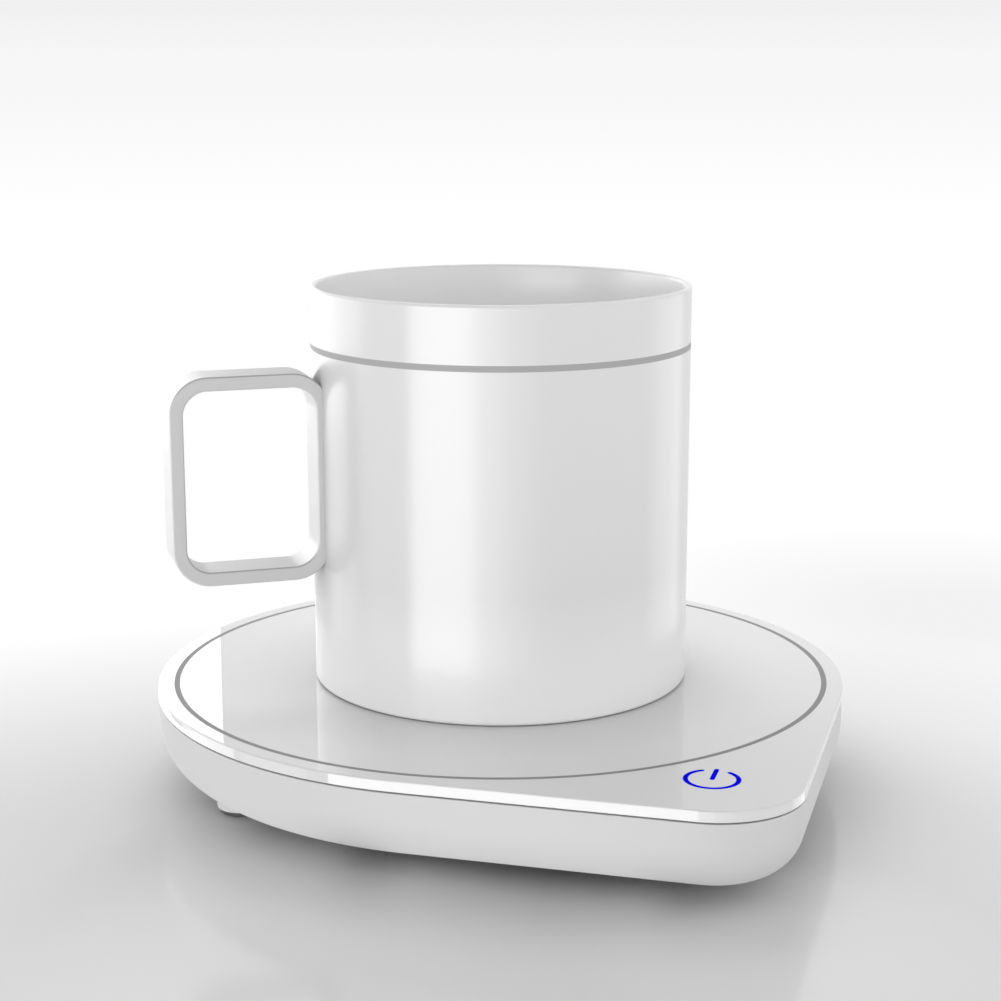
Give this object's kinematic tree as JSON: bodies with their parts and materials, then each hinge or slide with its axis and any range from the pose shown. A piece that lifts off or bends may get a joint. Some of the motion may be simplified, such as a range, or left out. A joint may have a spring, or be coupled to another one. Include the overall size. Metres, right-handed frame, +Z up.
{
  "type": "electric mug warmer",
  "caption": "Low rounded warming base with one square corner, glass top with a printed ring and touch power mark, and the straight-sided handled mug that stands on it.",
  "frame": {"origin": "on the table, under the centre of the printed ring, which is also the mug's axis", "axes": "+X along the straight front edge towards the square corner, +Y to the back where the power inlet is, +Z up"},
  "size_m": [0.14, 0.14, 0.1001],
  "materials": {
    "glass_white": "white printed glass, glossy",
    "print_grey": "grey enamel print",
    "icon_blue": "lit blue mark",
    "seam_grey": "dark adhesive seal",
    "frame_plastic": "moulded, plain",
    "housing_white": "fine satin moulding",
    "foot_rubber": "soft dark grey",
    "screw_steel": "zinc plated",
    "aluminium": "rolled",
    "film_amber": "amber film",
    "track_metal": "etched foil",
    "felt_white": "ceramic fibre felt",
    "press_steel": "pressed sheet",
    "sensor_resin": "resin bead",
    "fuse_ceramic": "plain",
    "board_green": "solder mask",
    "chip_black": "moulded epoxy",
    "capacitor_can": "drawn can",
    "jack_black": "moulded",
    "pin_metal": "nickel plated",
    "plug_cream": "natural nylon",
    "wire_red": "silicone sleeve",
    "wire_yellow": "thin sleeve",
    "cable_grey": "flat ribbon",
    "spring_steel": "bright wire",
    "led_white": "small lamp",
    "guide_clear": "clear moulding",
    "mug_white": "satin white glaze",
    "band_grey": "grey glaze line"
  },
  "bodies": {
    "base": {"glass_top": "glass_white", "ring_inlay": "print_grey", "power_icon": "icon_blue", "panel_gasket": "seam_grey", "top_frame": "frame_plastic", "lower_housing": "housing_white", "rubber_feet": "foot_rubber", "housing_screws": "screw_steel", "heat_spreader": "aluminium", "heater_film": "film_amber", "heating_track": "track_metal", "insulation_pad": "felt_white", "pressure_plate": "press_steel", "clamp_screws": "screw_steel", "temperature_sensor": "sensor_resin", "thermal_fuse": "fuse_ceramic", "main_board": "board_green", "board_screws": "screw_steel", "microcontroller": "chip_black", "power_transistor": "chip_black", "filter_capacitor": "capacitor_can", "voltage_regulator": "chip_black", "filter_choke": "chip_black", "inlet_jack": "jack_black", "inlet_pin": "pin_metal", "heater_connector": "plug_cream", "sensor_connector": "plug_cream", "touch_connectors": "plug_cream", "heater_leads": "wire_red", "sensor_leads": "wire_yellow", "touch_cable": "cable_grey", "touch_board": "board_green", "touch_spring": "spring_steel", "touch_screws": "screw_steel", "indicator_led": "led_white", "light_guide": "guide_clear"},
    "mug": {"mug_body": "mug_white", "mug_band": "band_grey", "mug_handle": "mug_white"}
  },
  "joints": [
    {"name": "mug_lift", "type": "slide", "parent": "base", "child": "mug", "axis": [0, 0, 1], "range_m": [0, 0.12]}
  ]
}
